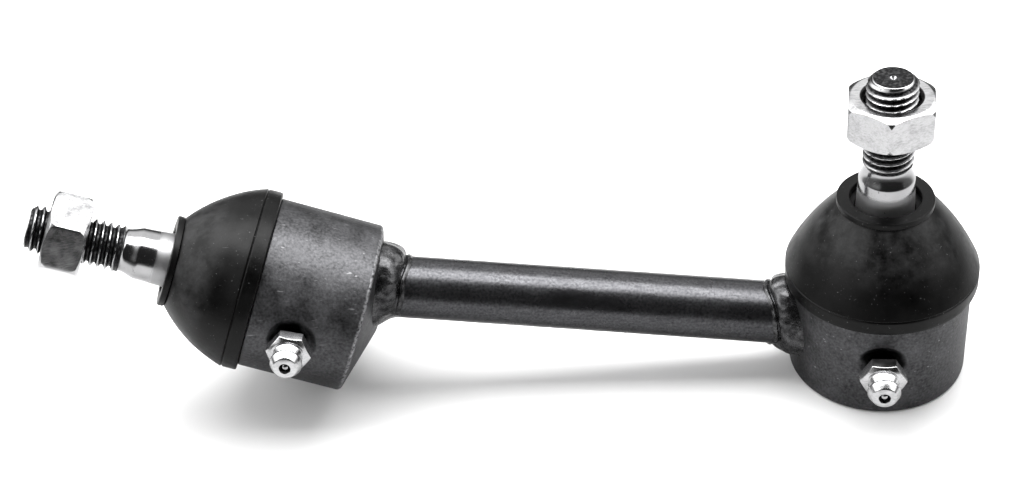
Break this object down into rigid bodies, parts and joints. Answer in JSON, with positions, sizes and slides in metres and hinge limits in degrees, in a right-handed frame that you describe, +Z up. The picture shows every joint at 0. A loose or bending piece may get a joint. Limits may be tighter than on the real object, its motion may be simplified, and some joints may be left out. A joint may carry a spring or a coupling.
{
  "type": "stabilizer link",
  "caption": "Steel rod with greasable ball joints welded to its ends, across and along the rod; booted, tapered, threaded studs with nuts tie a stabilizer bar to a suspension arm.",
  "frame": {"origin": "centre of the upright joint's flat round base", "axes": "+Z up along the upright (right) joint's axis, -X along the rod towards the left joint, -Y the side of the grease nipples"},
  "size_m": [0.1923, 0.0464, 0.0689],
  "materials": {
    "black_steel": "black oxide, satin",
    "weld_metal": "as welded, rippled",
    "phosphated_steel": "dark phosphate, satin",
    "spring_steel": "oiled",
    "bearing_plastic": "moulded",
    "ground_steel": "ground bright",
    "plain_steel": "turned",
    "boot_rubber": "matte, dusty",
    "black_plastic": "moulded",
    "zinc_steel": "bright zinc plate"
  },
  "bodies": {
    "link": {"rod": "black_steel", "weld_right": "weld_metal", "weld_left": "weld_metal", "housing_right": "phosphated_steel", "preload_spring_right": "spring_steel", "upper_seat_right": "bearing_plastic", "closing_ring_right": "plain_steel", "rim_ring_right": "plain_steel", "boot_right": "boot_rubber", "nipple_right": "zinc_steel", "check_spring_right": "spring_steel", "housing_left": "phosphated_steel", "preload_spring_left": "spring_steel", "upper_seat_left": "bearing_plastic", "closing_ring_left": "plain_steel", "rim_ring_left": "plain_steel", "boot_left": "boot_rubber", "nipple_left": "zinc_steel", "check_spring_left": "spring_steel"},
    "right_seat": {"lower_seat_right": "bearing_plastic"},
    "right_collar": {"neck_ring_right": "black_plastic"},
    "right_stud": {"ball_stud_right": "ground_steel"},
    "right_nut": {"nut_right": "zinc_steel"},
    "right_check_ball": {"check_ball_right": "ground_steel"},
    "left_seat": {"lower_seat_left": "bearing_plastic"},
    "left_collar": {"neck_ring_left": "black_plastic"},
    "left_stud": {"ball_stud_left": "ground_steel"},
    "left_nut": {"nut_left": "zinc_steel"},
    "left_check_ball": {"check_ball_left": "ground_steel"}
  },
  "joints": [
    {"name": "right_swivel", "type": "hinge", "parent": "link", "child": "right_seat", "pos_m": [0, 0, 0.015], "axis": [0, 0, 1], "continuous": true, "deforming": ["boot_right"]},
    {"name": "right_tilt", "type": "hinge", "parent": "right_seat", "child": "right_collar", "pos_m": [0, 0, 0.015], "axis": [0, 1, 0], "range_deg": [-20, 20], "deforming": ["boot_right"]},
    {"name": "right_spin", "type": "hinge", "parent": "right_collar", "child": "right_stud", "pos_m": [0, 0, 0.015], "axis": [0, 0, 1], "continuous": true},
    {"name": "right_nut_travel", "type": "slide", "parent": "right_stud", "child": "right_nut", "axis": [0, 0, 1], "range_m": [-0.0069, 0.0123]},
    {"name": "right_check", "type": "slide", "parent": "link", "child": "right_check_ball", "axis": [0.068, 0.9977, 0], "range_m": [0, 0.0008], "stiffness_N_per_m": 100, "springref_m": -0.003, "deforming": ["check_spring_right"]},
    {"name": "left_swivel", "type": "hinge", "parent": "link", "child": "left_seat", "pos_m": [-0.12193, 0, 0.02228], "axis": [-0.9285, 0, 0.3714], "continuous": true, "deforming": ["boot_left"]},
    {"name": "left_tilt", "type": "hinge", "parent": "left_seat", "child": "left_collar", "pos_m": [-0.12193, 0, 0.02228], "axis": [0.3216, 0.5, 0.8041], "range_deg": [-27, 13], "deforming": ["boot_left"]},
    {"name": "left_spin", "type": "hinge", "parent": "left_collar", "child": "left_stud", "pos_m": [-0.12193, 0, 0.02228], "axis": [-0.8989, -0.1055, 0.4252], "continuous": true},
    {"name": "left_nut_travel", "type": "slide", "parent": "left_stud", "child": "left_nut", "axis": [-0.8989, -0.1055, 0.4252], "range_m": [-0.0071, 0.0121]},
    {"name": "left_check", "type": "slide", "parent": "link", "child": "left_check_ball", "axis": [-0.0433, 0.9932, -0.1083], "range_m": [0, 0.0008], "stiffness_N_per_m": 100, "springref_m": -0.003, "deforming": ["check_spring_left"]}
  ]
}
